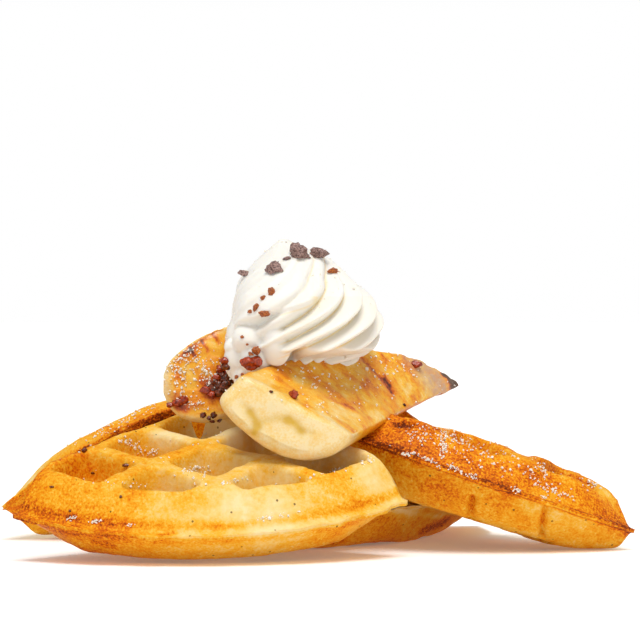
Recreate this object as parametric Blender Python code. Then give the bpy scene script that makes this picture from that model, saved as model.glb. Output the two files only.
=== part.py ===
"""A round waffle cut into four pieces and piled up, with two banana halves and a cream swirl on top.

Lengths in the constants are millimetres and become metres when a mesh is made.
The front of the pile is -Y, and the pile rests on z = 0.
"""

from math import acos, cos, exp, pi, radians, sin, sqrt

import bmesh
import bpy
import numpy as np
from mathutils import Matrix, Vector

MM = 0.001
GOLDEN = (1 + sqrt(5)) / 2

# Waffle: one iron's size for all four pieces
RADIUS = 89.0
HALF = 12.5
PITCH = 26.0
RIB_HALF = 2.4
POCKET_DEPTH = 9.6
POCKET_DRAFT = 4.0
POCKET_OVERSHOOT = 1.0
LIMIT_DRAFT = 2.4
LIMIT_SIDES = 60
FLASH_HALF = 0.6
APEX_CUT = 7.0
ARC_STEP = 6.0
PULL_REACH = 14.0

# Half thicknesses above and below the flash, where they differ from HALF
FRONT_TOP = 13.8
BACK_TOP = 7.4
BACK_LOW = 14.8
RIGHT_LOW = 13.0

# Each piece's share of the round, in degrees
FRONT_SPAN = 90.0
BACK_SPAN = 54.0
RIGHT_SPAN = 74.0
UNDER_SPAN = 90.0

# How far in from the edge the pockets of each side end
LIMIT_TOP = 10.5
LIMIT_LOW = 13.0
UNDER_LIMIT_TOP = 11.5
UNDER_LIMIT_LOW = 14.0

# Rim profile above the flash: (distance in from the edge, share of the half thickness)
RIM_TOP = [(0.0, 0.05), (2.6, 0.07), (4.0, 0.26), (7.0, 0.56), (10.2, 0.84), (13.5, 0.96), (17.5, 1.0)]
RIM_LOW = [(0.0, 0.05), (2.6, 0.07), (4.0, 0.26), (6.8, 0.56), (9.8, 0.83), (13.0, 0.96), (17.0, 1.0)]

# Pose of each piece: apex (x, y, z), then tilt, roll and yaw in degrees
FRONT_LEFT = ((-41.4, 64.0, 33.0), (15.6, 0.0, -128.6))
BACK_LEFT = ((-58.6, 147.8, 14.4), (-18.0, -27.2, -129.4))
RIGHT = ((49.6, 106.7, 21.6), (-2.6, 18.8, -123.9))
UNDER = ((-35.0, 110.0, 12.6), (0.0, 0.0, -75.0))

# The back and right pieces sag between their ends: (x of one end, x of the other, rise)
BACK_ARCH = (-110.0, -50.0, 2.0)
RIGHT_ARCH = (14.0, 96.0, 1.8)

# How far the rim is drawn back near a piece's cut ends, above and below the flash
FRONT_PULL = (0.0, 0.8)
BACK_PULL = (0.7, 0.0)
RIGHT_PULL = (0.5, -0.2)

# Contact: the table squeezes the last millimetres, and the bottom piece is pressed under the others
TABLE_SOFT = 2.2
UNDER_GAP = 0.7
UNDER_THINNEST = 1.2
UNDER_SEAM = 13.5
UNDER_SEAM_SHARE = 0.90
FLASH_REACH = 3.0
FLASH_STRETCH = 0.07
STRETCH_FROM_Y = 60.0
STRETCH_OVER = 20.0

# Front banana half, from its cut end to its tip: (y, back edge x, z, front edge x, z, depth)
BANANA_FRONT = [
    (0.5, -25.4, 58.6, 9.6, 39.4, 17.0),
    (5.0, -25.2, 59.8, 11.0, 40.0, 17.4),
    (24.0, -13.5, 63.2, 18.0, 42.0, 16.6),
    (36.0, -2.0, 65.6, 23.4, 43.8, 15.6),
    (48.0, 9.5, 66.6, 28.8, 46.0, 15.0),
    (58.0, 19.5, 66.0, 34.0, 48.0, 12.0),
    (67.0, 30.5, 63.4, 39.6, 50.0, 8.4),
    (74.0, 40.0, 58.6, 44.4, 51.6, 4.6),
    (78.5, 46.4, 54.6, 47.6, 53.0, 1.6),
]
# Back banana half, from its round end toward the cream: (x, low edge y, z, high edge y, z, depth)
BANANA_BACK = [
    (-51.6, 37.5, 52.0, 38.5, 58.0, 2.2),
    (-49.6, 36.5, 47.4, 38.6, 62.4, 6.4),
    (-46.0, 36.0, 44.2, 39.2, 66.0, 10.0),
    (-40.5, 36.0, 42.6, 41.0, 70.0, 13.0),
    (-34.0, 36.6, 43.0, 43.5, 73.0, 14.4),
    (-26.0, 39.0, 46.4, 47.5, 75.2, 14.6),
    (-17.0, 43.8, 50.8, 52.5, 76.6, 14.0),
    (-8.0, 51.5, 55.0, 59.0, 77.0, 12.6),
    (0.0, 60.5, 58.6, 66.0, 76.0, 10.0),
    (6.0, 68.5, 61.4, 72.0, 74.0, 6.2),
    (9.6, 74.0, 64.2, 75.2, 70.0, 2.2),
]

# Cream swirl, from its foot to its peak: (z, centre x, centre y, radius)
CREAM_RINGS = [
    (59.0, -10.0, 38.6, 13.0),
    (61.5, -9.0, 38.6, 19.5),
    (65.0, -7.6, 38.6, 23.6),
    (69.5, -6.2, 38.6, 25.6),
    (75.0, -5.3, 38.6, 26.0),
    (80.5, -5.6, 38.6, 24.6),
    (85.5, -6.8, 38.6, 21.8),
    (90.0, -8.4, 38.6, 17.8),
    (94.0, -8.6, 38.6, 14.2),
    (97.4, -8.8, 38.6, 10.4),
    (100.2, -10.8, 38.6, 5.2),
    (102.6, -12.0, 38.6, 1.4),
]
CREAM_FOLDS = 13
CREAM_FOLD_DEPTH = 0.13
CREAM_SWELL = 1.03
CREAM_TURN = 3.4
CREAM_TURN_POWER = 0.6
CREAM_POINTS = 52
# Lobes that run down on the left, between the bananas: (centre, radii)
CREAM_LOBES = [
    ((-22.0, 30.0, 70.0), (8.0, 9.0, 9.0)),
    ((-24.4, 27.0, 63.5), (6.6, 6.0, 7.6)),
    ((-26.4, 25.4, 57.5), (4.2, 4.0, 5.6)),
]
LOBE_ROWS = 8
LOBE_POINTS = 14
CLEARANCE = 0.4

# A half round's section
FLAT_STEPS = 5
ROUND_STEPS = 12
SWELL = 0.04
SWELL_FRONT_BACK_EDGE = 0.26

# Toppings: (x, z, radii) on the front of the cream
NIBS = [
    (-8.0, 99.0, (3.9, 3.0, 2.6)),
    (-0.4, 96.6, (3.2, 2.6, 2.6)),
    (-14.4, 93.0, (3.4, 2.6, 2.4)),
    (-23.6, 90.6, (2.5, 2.0, 1.5)),
    (4.2, 90.8, (1.9, 1.5, 1.4)),
    (-14.6, 84.8, (1.2, 1.2, 1.5)),
    (-18.2, 79.4, (1.6, 1.2, 1.4)),
    (-14.6, 79.0, (1.5, 1.2, 1.1)),
]
# Bits on the front banana's flat side: (x, y, radii)
BITS_FRONT = [
    (-9.2, 10.6, (1.8, 1.6, 1.7)),
    (36.4, 70.0, (1.9, 1.7, 1.6)),
]
# Bits and the dark glazed lump on the back banana's flat side: (x, z, radii)
BITS_BACK = [
    (-43.5, 50.6, (4.0, 1.8, 1.9)),
    (-36.4, 53.6, (2.6, 1.6, 1.6)),
    (-37.4, 45.6, (2.4, 1.6, 1.5)),
    (-31.6, 58.2, (4.4, 3.2, 3.6)),
    (-28.6, 53.8, (3.4, 3.0, 3.2)),
]
CHIP_ROUGH = 0.22
CHIP_SINK = 0.3
NIB_SINK = 0.1

# Each object's own surface: colour in linear light, then roughness
SURFACES = {
    "waffle_front_left": ((0.86, 0.55, 0.15), 0.65),
    "waffle_back_left": ((0.70, 0.30, 0.04), 0.62),
    "waffle_right": ((0.74, 0.32, 0.05), 0.60),
    "waffle_under": ((0.66, 0.36, 0.09), 0.68),
    "banana_front": ((0.84, 0.50, 0.13), 0.40),
    "banana_back": ((0.76, 0.42, 0.11), 0.42),
    "whipped_cream": ((0.90, 0.86, 0.78), 0.45),
}


def clear_scene():
    for obj in list(bpy.data.objects):
        bpy.data.objects.remove(obj, do_unlink=True)
    for mesh in list(bpy.data.meshes):
        bpy.data.meshes.remove(mesh)


def give_surface(obj):
    """Gives an object a material of its own."""
    colour, roughness = SURFACES[obj.name]
    material = bpy.data.materials.new(obj.name)
    material.use_nodes = True
    shader = material.node_tree.nodes["Principled BSDF"]
    shader.inputs["Base Color"].default_value = (*colour, 1.0)
    shader.inputs["Roughness"].default_value = roughness
    shader.inputs["Metallic"].default_value = 0.0
    obj.data.materials.clear()
    obj.data.materials.append(material)


def make_object(name, points, faces):
    """A mesh object from points in millimetres, with its faces turned outward."""
    mesh = bpy.data.meshes.new(name)
    mesh.from_pydata([tuple(float(c) * MM for c in p) for p in points], [], [list(f) for f in faces])
    obj = bpy.data.objects.new(name, mesh)
    bpy.context.scene.collection.objects.link(obj)
    work = bmesh.new()
    work.from_mesh(mesh)
    bmesh.ops.recalc_face_normals(work, faces=work.faces)
    work.to_mesh(mesh)
    work.free()
    return obj


def apply_boolean(obj, others, operation, solver="EXACT"):
    """Applies one Boolean with every object of a list, then removes the list's objects.

    The bananas' seats and the cream's lobes take the solver for closed solids, because the exact one
    leaves loose slivers where two surfaces nearly touch.
    """
    group = bpy.data.collections.new("operands")
    bpy.context.scene.collection.children.link(group)
    for other in others:
        bpy.context.scene.collection.objects.unlink(other)
        group.objects.link(other)
    modifier = obj.modifiers.new("boolean", "BOOLEAN")
    modifier.operation = operation
    modifier.operand_type = "COLLECTION"
    modifier.collection = group
    modifier.solver = solver
    bpy.context.view_layer.update()
    graph = bpy.context.evaluated_depsgraph_get()
    mesh = bpy.data.meshes.new_from_object(obj.evaluated_get(graph))
    obj.modifiers.clear()
    old = obj.data
    obj.data = mesh
    bpy.data.meshes.remove(old)
    for other in others:
        bpy.data.objects.remove(other, do_unlink=True)
    bpy.data.collections.remove(group)


def loft(name, rings, cap_points=False):
    """Closed skin over rings with the same number of points each."""
    count = len(rings[0])
    points = [p for ring in rings for p in ring]
    faces = []
    for i in range(len(rings) - 1):
        for j in range(count):
            a = i * count + j
            b = i * count + (j + 1) % count
            faces.append((a, b, b + count, a + count))
    last = (len(rings) - 1) * count
    if cap_points:
        first_mid = len(points)
        points.append(np.mean(np.array(rings[0], float), axis=0))
        points.append(np.mean(np.array(rings[-1], float), axis=0))
        for j in range(count):
            faces.append(((j + 1) % count, j, first_mid))
            faces.append((last + j, last + (j + 1) % count, first_mid + 1))
    else:
        faces.append(tuple(reversed(range(count))))
        faces.append(tuple(range(last, last + count)))
    return make_object(name, points, faces)


def rim_blank(name, span, top, low, pull):
    """A sector of the waffle without its pockets, flash at z = 0."""
    steps = max(2, int(round(span / ARC_STEP)))
    rings = []
    for i in range(steps + 1):
        angle = radians(span * i / steps)
        near_end = max(0.0, 1.0 - min(i, steps - i) * span / steps / PULL_REACH)
        over = 1.0 + pull[0] * near_end
        below = 1.0 + pull[1] * near_end
        outline = [(APEX_CUT, top)]
        outline += [(RADIUS - d * over, max(share * top, FLASH_HALF)) for d, share in reversed(RIM_TOP)]
        outline += [(RADIUS - d * below, -max(share * low, FLASH_HALF)) for d, share in RIM_LOW]
        outline += [(APEX_CUT, -low)]
        rings.append([(r * cos(angle), r * sin(angle), z) for r, z in outline])
    return loft(name, rings)


def pocket_cutters(limit, top, sign):
    """All the pockets of one side, cut short by a cone inside the rim."""
    floor = top * (1.0 - POCKET_DEPTH / HALF)
    slope = POCKET_DRAFT / (top - floor)
    points = []
    faces = []
    for i in range(-1, 4):
        for j in range(-1, 4):
            base = len(points)
            for z, inset in ((floor, RIB_HALF + POCKET_DRAFT),
                             (top + POCKET_OVERSHOOT, RIB_HALF - slope * POCKET_OVERSHOOT)):
                x0, x1 = i * PITCH + inset, (i + 1) * PITCH - inset
                y0, y1 = j * PITCH + inset, (j + 1) * PITCH - inset
                points += [(x0, y0, sign * z), (x1, y0, sign * z), (x1, y1, sign * z), (x0, y1, sign * z)]
            faces += [(base + a, base + b, base + c, base + d) for a, b, c, d in
                      ((3, 2, 1, 0), (4, 5, 6, 7), (0, 1, 5, 4), (1, 2, 6, 5), (2, 3, 7, 6), (3, 0, 4, 7))]
    cutter = make_object("pockets", points, faces)
    ring = [2 * pi * k / LIMIT_SIDES for k in range(LIMIT_SIDES)]
    edge = [[(r * cos(a), r * sin(a), sign * z) for a in ring]
            for z, r in ((floor - POCKET_OVERSHOOT, RADIUS - limit - LIMIT_DRAFT),
                         (top + 2 * POCKET_OVERSHOOT, RADIUS - limit))]
    apply_boolean(cutter, [loft("limit", edge)], "INTERSECT")
    return cutter


def waffle_piece(name, span, top, low, limits=(LIMIT_TOP, LIMIT_LOW), pull=(0.0, 0.0)):
    piece = rim_blank(name, span, top, low, pull)
    apply_boolean(piece, [pocket_cutters(limits[0], top, 1)], "DIFFERENCE")
    apply_boolean(piece, [pocket_cutters(limits[1], low, -1)], "DIFFERENCE")
    work = bmesh.new()
    work.from_mesh(piece.data)
    bmesh.ops.remove_doubles(work, verts=work.verts, dist=0.02 * MM)
    bmesh.ops.dissolve_degenerate(work, dist=0.02 * MM, edges=work.edges)
    bmesh.ops.triangulate(work, faces=work.faces)
    work.to_mesh(piece.data)
    work.free()
    return piece


def pose_matrix(pose):
    place, angles = pose
    tilt, roll, yaw = (radians(a) for a in angles)
    turn = Matrix.Rotation(tilt, 4, "X") @ Matrix.Rotation(roll, 4, "Y") @ Matrix.Rotation(yaw, 4, "Z")
    return Matrix.Translation(Vector(place)) @ turn


def press_on_table(z):
    """Squeezes what would sink into the table into the last two millimetres above it."""
    if z >= TABLE_SOFT:
        return z
    return TABLE_SOFT * exp((z - TABLE_SOFT) / TABLE_SOFT)


def arch(x, x0, x1, rise):
    """A parabola that is zero at both ends and rises between them."""
    share = (x - x0) / (x1 - x0)
    return rise * 4.0 * share * (1.0 - share)


def place_piece(obj, pose, bow=None):
    """Moves the vertices to their place in the pile, with an optional arch along x."""
    matrix = pose_matrix(pose)
    for vertex in obj.data.vertices:
        at = matrix @ (vertex.co / MM)
        if bow:
            at.z += arch(at.x, *bow)
        at.z = press_on_table(at.z)
        vertex.co = at * MM


def plane_height(pose, x, y, offset):
    """Height at (x, y) of a piece's plane, offset along its own normal."""
    matrix = pose_matrix(pose)
    normal = matrix.to_3x3() @ Vector((0.0, 0.0, 1.0))
    at = matrix @ Vector((0.0, 0.0, offset))
    return at.z - ((x - at.x) * normal.x + (y - at.y) * normal.y) / normal.z


def squash_under(obj):
    """Places the bottom piece, pressed thin wherever another piece lies on it."""
    matrix = pose_matrix(UNDER)
    for vertex in obj.data.vertices:
        local = vertex.co / MM
        at = matrix @ Vector((local.x, local.y, 0.0))
        reach = sqrt(local.x ** 2 + local.y ** 2)
        if reach > RADIUS - FLASH_REACH and at.y > STRETCH_FROM_Y:
            stretch = 1.0 + FLASH_STRETCH * min(1.0, (at.y - STRETCH_FROM_Y) / STRETCH_OVER)
            at = matrix @ Vector((local.x * stretch, local.y * stretch, 0.0))
        roof = min(
            2.0 * HALF,
            plane_height(FRONT_LEFT, at.x, at.y, -HALF) - UNDER_GAP,
            plane_height(RIGHT, at.x, at.y, -RIGHT_LOW) - UNDER_GAP,
            plane_height(BACK_LEFT, at.x, at.y, -BACK_LOW) - UNDER_GAP,
        )
        roof = max(roof, UNDER_THINNEST)
        seam = min(UNDER_SEAM, UNDER_SEAM_SHARE * roof)
        if local.z >= 0.0:
            z = seam + (roof - seam) * local.z / HALF
        else:
            z = seam * (1.0 + local.z / HALF)
        vertex.co = Vector((at.x, at.y, z)) * MM


def make_waffles():
    front = waffle_piece("waffle_front_left", FRONT_SPAN, FRONT_TOP, HALF, pull=FRONT_PULL)
    place_piece(front, FRONT_LEFT)
    back = waffle_piece("waffle_back_left", BACK_SPAN, BACK_TOP, BACK_LOW, pull=BACK_PULL)
    place_piece(back, BACK_LEFT, BACK_ARCH)
    right = waffle_piece("waffle_right", RIGHT_SPAN, HALF, RIGHT_LOW, pull=RIGHT_PULL)
    place_piece(right, RIGHT, RIGHT_ARCH)
    under = waffle_piece("waffle_under", UNDER_SPAN, HALF, HALF, (UNDER_LIMIT_TOP, UNDER_LIMIT_LOW))
    squash_under(under)
    return [front, back, right, under]


def half_round(first, second, bulge, swell_first=SWELL):
    """Points of a half disc: along the flat side from first to second, then back round the bulge."""
    first = np.array(first, float)
    second = np.array(second, float)
    bulge = np.array(bulge, float)
    middle = (first + second) / 2
    half = (second - first) / 2
    flat = [first + (second - first) * k / FLAT_STEPS for k in range(FLAT_STEPS + 1)]
    rounded = []
    for k in range(1, ROUND_STEPS):
        angle = pi * k / ROUND_STEPS
        near_second = angle < pi / 2
        swell = 1.0 + (SWELL if near_second else swell_first) * sin(2 * angle) ** 2
        fullness = 1.1 if near_second else 0.75
        rounded.append(middle + half * swell * cos(angle) + bulge * sin(angle) ** fullness)
    return flat + rounded


def refine(rows, times):
    """Adds stations halfway between the rows, along a smooth curve through them."""
    rows = np.array(rows, float)
    for _ in range(times):
        fine = [rows[0]]
        for i in range(len(rows) - 1):
            before = rows[max(i - 1, 0)]
            after = rows[min(i + 2, len(rows) - 1)]
            fine.append((9 * (rows[i] + rows[i + 1]) - before - after) / 16)
            fine.append(rows[i + 1])
        rows = np.array(fine)
    return rows


def banana_front(name, grow=0.0):
    """The front half, or the cutter for its seat when it is grown."""
    rings = []
    for y, x0, z0, x1, z1, depth in refine(BANANA_FRONT, 1):
        back, front = np.array((x0, y, z0)), np.array((x1, y, z1))
        along = (front - back) / np.linalg.norm(front - back)
        down = np.array((-abs(along[2]), 0.0, -abs(along[0])))
        back = back - along * grow - down * grow
        front = front + along * grow - down * grow
        rings.append(half_round(back, front, down * (depth + 2 * grow), SWELL_FRONT_BACK_EDGE))
    if grow:
        rings[0] = [p - np.array((0.4, 1.0, 0.0)) * grow for p in rings[0]]
        rings[-1] = [p + np.array((0.8, 1.0, 0.0)) * grow for p in rings[-1]]
    return loft(name, rings, True)


def banana_back(name, grow=0.0):
    rings = []
    for x, y0, z0, y1, z1, depth in refine(BANANA_BACK, 1):
        low, high = np.array((x, y0, z0)), np.array((x, y1, z1))
        along = (high - low) / np.linalg.norm(high - low)
        away = np.array((0.0, along[2], -along[1]))
        low = low - along * grow - away * grow
        high = high + along * grow - away * grow
        rings.append(half_round(low, high, away * (depth + 2 * grow)))
    if grow:
        rings[0] = [p - np.array((1.0, 0.0, 0.0)) * grow for p in rings[0]]
        rings[-1] = [p + np.array((1.0, 0.6, 0.0)) * grow for p in rings[-1]]
    return loft(name, rings, True)


ICO_POINTS = [(0, s1, s2 * GOLDEN) for s1 in (-1, 1) for s2 in (-1, 1)]
ICO_POINTS += [(y, z, x) for x, y, z in ICO_POINTS] + [(z, x, y) for x, y, z in ICO_POINTS]


def lump(name, centre, radii, seed):
    """A small angular lump of about twenty faces."""
    rng = np.random.default_rng(seed)
    work = bmesh.new()
    for point in ICO_POINTS:
        unit = np.array(point) / sqrt(1 + GOLDEN ** 2)
        scale = 1.0 + CHIP_ROUGH * rng.uniform(-1.0, 1.0)
        at = np.array(centre) + unit * np.array(radii) * scale
        work.verts.new([float(c) * MM for c in at])
    bmesh.ops.convex_hull(work, input=list(work.verts))
    spare = [v for v in work.verts if not v.link_faces]
    bmesh.ops.delete(work, geom=spare, context="VERTS")
    bmesh.ops.recalc_face_normals(work, faces=work.faces)
    mesh = bpy.data.meshes.new(name)
    work.to_mesh(mesh)
    work.free()
    obj = bpy.data.objects.new(name, mesh)
    bpy.context.scene.collection.objects.link(obj)
    return obj


def ball(name, centre, radii):
    """An ellipsoid with small flat poles."""
    pole = 0.12
    rings = []
    for i in range(LOBE_ROWS + 1):
        tilt = pole + (pi - 2 * pole) * i / LOBE_ROWS
        rings.append([(centre[0] + radii[0] * sin(tilt) * cos(2 * pi * k / LOBE_POINTS),
                       centre[1] + radii[1] * sin(tilt) * sin(2 * pi * k / LOBE_POINTS),
                       centre[2] - radii[2] * cos(tilt)) for k in range(LOBE_POINTS)])
    return loft(name, rings, True)


def cream_turn(z):
    """How far the folds have climbed round the swirl at a height."""
    foot, peak = CREAM_RINGS[0][0], CREAM_RINGS[-1][0]
    return CREAM_TURN * ((z - foot) / (peak - foot)) ** CREAM_TURN_POWER


def cream_reach(angle, z, radius):
    """Distance from the swirl's axis to its skin, with round folds and sharp grooves."""
    fold = abs(cos(CREAM_FOLDS / 2 * (angle - cream_turn(z))))
    return radius * (CREAM_SWELL - CREAM_FOLD_DEPTH * (1.0 - fold))


def cream_front_y(x, z):
    """Depth of the cream's front skin at (x, z)."""
    table = np.array(CREAM_RINGS)
    cx, cy, radius = (float(np.interp(z, table[:, 0], table[:, k])) for k in (1, 2, 3))
    angle = -acos(max(-1.0, min(1.0, (x - cx) / radius)))
    return cy + cream_reach(angle, z, radius) * sin(angle)


def cream():
    rings = []
    for z, cx, cy, radius in refine(CREAM_RINGS, 1):
        angles = [cream_turn(z) + 2 * pi * k / CREAM_POINTS for k in range(CREAM_POINTS)]
        reach = [cream_reach(angle, z, radius) for angle in angles]
        rings.append([(cx + r * cos(a), cy + r * sin(a), z) for a, r in zip(angles, reach)])
    body = loft("whipped_cream", rings, True)
    apply_boolean(body, [ball("lobe", c, r) for c, r in CREAM_LOBES], "UNION", "MANIFOLD")
    apply_boolean(body, [banana_front("fat_front", CLEARANCE)], "DIFFERENCE", "MANIFOLD")
    apply_boolean(body, [banana_back("fat_back", CLEARANCE)], "DIFFERENCE", "MANIFOLD")
    nibs = [lump("nib", (x, cream_front_y(x, z) - NIB_SINK, z), radii, 11 + i)
            for i, (x, z, radii) in enumerate(NIBS)]
    apply_boolean(body, nibs, "UNION")
    return body


def front_flat_z(x, y):
    """Height of the front banana's flat side at (x, y)."""
    table = np.array(BANANA_FRONT)
    x0, z0, x1, z1 = (float(np.interp(y, table[:, 0], table[:, k])) for k in (1, 2, 3, 4))
    return z0 + (z1 - z0) * (x - x0) / (x1 - x0)


def back_flat_y(x, z):
    """Depth of the back banana's flat side at (x, z)."""
    table = np.array(BANANA_BACK)
    y0, z0, y1, z1 = (float(np.interp(x, table[:, 0], table[:, k])) for k in (1, 2, 3, 4))
    return y0 + (y1 - y0) * (z - z0) / (z1 - z0)


def centre_on_base():
    """Moves everything so that the origin is at the middle of the pile's base."""
    meshes = [obj.data for obj in bpy.context.scene.objects if obj.type == "MESH"]
    points = np.array([vertex.co for mesh in meshes for vertex in mesh.vertices])
    low, high = points.min(axis=0), points.max(axis=0)
    shift = Vector((-(low[0] + high[0]) / 2, -(low[1] + high[1]) / 2, -low[2]))
    for mesh in meshes:
        mesh.transform(Matrix.Translation(shift))
        mesh.update()


def main():
    clear_scene()
    front_piece, back_piece, right_piece, _ = make_waffles()
    for piece in (front_piece, right_piece):
        apply_boolean(piece, [banana_front("fat_front", CLEARANCE)], "DIFFERENCE", "MANIFOLD")
    for piece in (front_piece, back_piece):
        apply_boolean(piece, [banana_back("fat_back", CLEARANCE)], "DIFFERENCE", "MANIFOLD")
    front = banana_front("banana_front")
    bits = [lump("bit", (x, y, front_flat_z(x, y) + CHIP_SINK), radii, 31 + i)
            for i, (x, y, radii) in enumerate(BITS_FRONT)]
    apply_boolean(front, bits, "UNION")
    back = banana_back("banana_back")
    bits = [lump("bit", (x, back_flat_y(x, z) - CHIP_SINK, z), radii, 41 + i)
            for i, (x, z, radii) in enumerate(BITS_BACK)]
    apply_boolean(back, bits, "UNION")
    cream()
    centre_on_base()
    for name in SURFACES:
        give_surface(bpy.data.objects[name])


main()
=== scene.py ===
"""Looks of a topped waffle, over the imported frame: four piled wedges, two banana halves and a cream swirl.

Lengths are millimetres in the pile's own layout and become metres when a mesh is made.
In the layout the viewer looks along +Y and the table is z = 0.
"""

from math import cos, pi, radians, sin

import bmesh
import bpy
import numpy as np
from mathutils import Matrix, Vector
from mathutils.bvhtree import BVHTree


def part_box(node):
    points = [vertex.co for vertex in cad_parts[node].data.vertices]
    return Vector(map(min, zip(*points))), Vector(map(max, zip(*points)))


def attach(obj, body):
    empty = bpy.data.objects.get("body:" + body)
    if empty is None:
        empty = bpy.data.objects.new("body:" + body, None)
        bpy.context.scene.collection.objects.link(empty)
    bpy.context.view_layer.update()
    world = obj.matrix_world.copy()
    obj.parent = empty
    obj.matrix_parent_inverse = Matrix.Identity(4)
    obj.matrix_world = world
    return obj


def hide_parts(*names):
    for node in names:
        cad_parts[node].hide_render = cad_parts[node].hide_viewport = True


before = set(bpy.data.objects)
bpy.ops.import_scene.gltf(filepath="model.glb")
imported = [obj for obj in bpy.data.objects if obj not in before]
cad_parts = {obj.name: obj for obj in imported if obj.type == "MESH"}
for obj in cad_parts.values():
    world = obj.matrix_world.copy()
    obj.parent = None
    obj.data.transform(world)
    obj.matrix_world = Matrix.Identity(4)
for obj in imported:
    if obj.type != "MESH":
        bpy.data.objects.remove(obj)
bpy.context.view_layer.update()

MM = 0.001

# Camera, fitted to the photograph
IMAGE_SIZE = 640
FOCAL_PIXELS = 3150.0
SENSOR = 36.0
CAMERA_DISTANCE = 1000.0
RISE = radians(1.0)
CAMERA_TARGET = (0.0, 0.0, 76.7)
CAMERA_BACK = np.array((0.0, -cos(RISE), sin(RISE)))
CAMERA_UP = np.array((0.0, sin(RISE), cos(RISE)))

# Light: a soft sun from above and in front, and a pale sky that is dimmer overhead
KEY_DIRECTION = (-0.04, 0.38, -0.92)
KEY_STRENGTH = 2.5
KEY_SPREAD = 32.0
OVERHEAD = 0.45
FLOOR_GLOW = 0.17
FLOOR_WARMTH = (1.0, 0.80, 0.62)
EXPOSED = 0.80

# Waffle iron: the radius, half thickness and pockets of a waffle, and where a wedge's point is cut off
RADIUS = 89.0
HALF = 12.5
PITCH = 26.0
RIB_HALF = 2.4
POCKET_DEPTH = 9.6
POCKET_DRAFT = 4.0
APEX_CUT = 7.0
# Thickness of a wedge's top or underside where it isn't HALF
FRONT_TOP = 13.8
BACK_TOP = 7.4
BACK_LOW = 14.8
RIGHT_LOW = 13.0
# A wedge's rounded rim: (distance in from the edge, share of the full height)
RIM_TOP = [(0.0, 0.05), (2.6, 0.07), (4.0, 0.26), (7.0, 0.56), (10.2, 0.84), (13.5, 0.96), (17.5, 1.0)]
RIM_LOW = [(0.0, 0.05), (2.6, 0.07), (4.0, 0.26), (6.8, 0.56), (9.8, 0.83), (13.0, 0.96), (17.0, 1.0)]
RIM_ZONE = 19.0
LOW_BUMPS = 0.45
# Steps of a wedge's mesh
FINE_STEP = 0.55
COARSE_STEP = 0.8
ANGLE_STEP = 0.7
WALL_ROWS = 26

# Pose of each wedge: apex (x, y, z), then tilt, roll and yaw in degrees
FRONT_LEFT = ((-41.4, 64.0, 33.0), (15.6, 0.0, -128.6))
BACK_LEFT = ((-58.6, 147.8, 14.4), (-18.0, -27.2, -129.4))
RIGHT = ((49.6, 106.7, 21.6), (-2.6, 18.8, -123.9))
UNDER = ((-35.0, 110.0, 12.6), (0.0, 0.0, -75.0))
# How a wedge bows up or down along its length: (from x, to x, rise)
RIGHT_ARCH = (14.0, 96.0, -0.6)
BACK_ARCH = (-110.0, -50.0, 2.0)
# The bottom wedge, pressed thin under the others, with its rim squeezed out a little behind a given y
UNDER_GAP = -0.4
UNDER_THINNEST = 1.2
UNDER_SEAM = 13.5
UNDER_SEAM_SHARE = 0.90
UNDER_SPREAD_FROM = 60.0
UNDER_SPREAD = 0.07
# How near the table a wedge begins to flatten, and how far above it its skin stays
TABLE_SOFT = 2.2
TABLE_FILM = 0.05

# Front banana half, from its cut end to its tip: (y, back edge x, z, front edge x, z, depth)
BANANA_FRONT = [
    (0.5, -25.4, 58.6, 9.6, 39.4, 17.0),
    (5.0, -25.2, 59.8, 11.0, 40.0, 17.4),
    (24.0, -13.5, 63.2, 18.0, 42.0, 16.6),
    (36.0, -2.0, 65.6, 23.4, 43.8, 15.6),
    (48.0, 9.5, 66.6, 28.8, 46.0, 15.0),
    (58.0, 19.5, 66.0, 34.0, 48.0, 12.0),
    (67.0, 30.5, 63.4, 39.6, 50.0, 8.4),
    (74.0, 40.0, 58.6, 44.4, 51.6, 4.6),
    (78.5, 46.4, 54.6, 47.6, 53.0, 1.6),
]
# Back banana half, from its round end toward the cream: (x, low edge y, z, high edge y, z, depth)
BANANA_BACK = [
    (-51.6, 37.5, 52.0, 38.5, 58.0, 2.2),
    (-49.6, 36.5, 47.4, 38.6, 62.4, 6.4),
    (-46.0, 36.0, 44.2, 39.2, 66.0, 10.0),
    (-40.5, 36.0, 42.6, 41.0, 70.0, 13.0),
    (-34.0, 36.6, 43.0, 43.5, 73.0, 14.4),
    (-26.0, 39.0, 46.4, 47.5, 75.2, 14.6),
    (-17.0, 43.8, 50.8, 52.5, 76.6, 14.0),
    (-8.0, 51.5, 55.0, 59.0, 77.0, 12.6),
    (0.0, 60.5, 58.6, 66.0, 76.0, 10.0),
    (6.0, 68.5, 61.4, 72.0, 74.0, 6.2),
    (9.6, 74.0, 64.2, 75.2, 70.0, 2.2),
]

# Cream swirl, from its foot to its peak: (z, centre x, radius), about one centre y
CREAM_Y = 38.6
CREAM_RINGS = [
    (59.0, -10.0, 13.0),
    (61.5, -9.0, 19.5),
    (65.0, -7.6, 23.6),
    (69.5, -6.2, 25.6),
    (75.0, -5.3, 26.0),
    (80.5, -5.6, 24.6),
    (85.5, -6.8, 21.8),
    (90.0, -8.4, 17.8),
    (94.0, -8.6, 14.2),
    (97.4, -8.8, 10.4),
    (100.2, -10.8, 5.2),
    (102.6, -12.0, 1.4),
]
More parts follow.
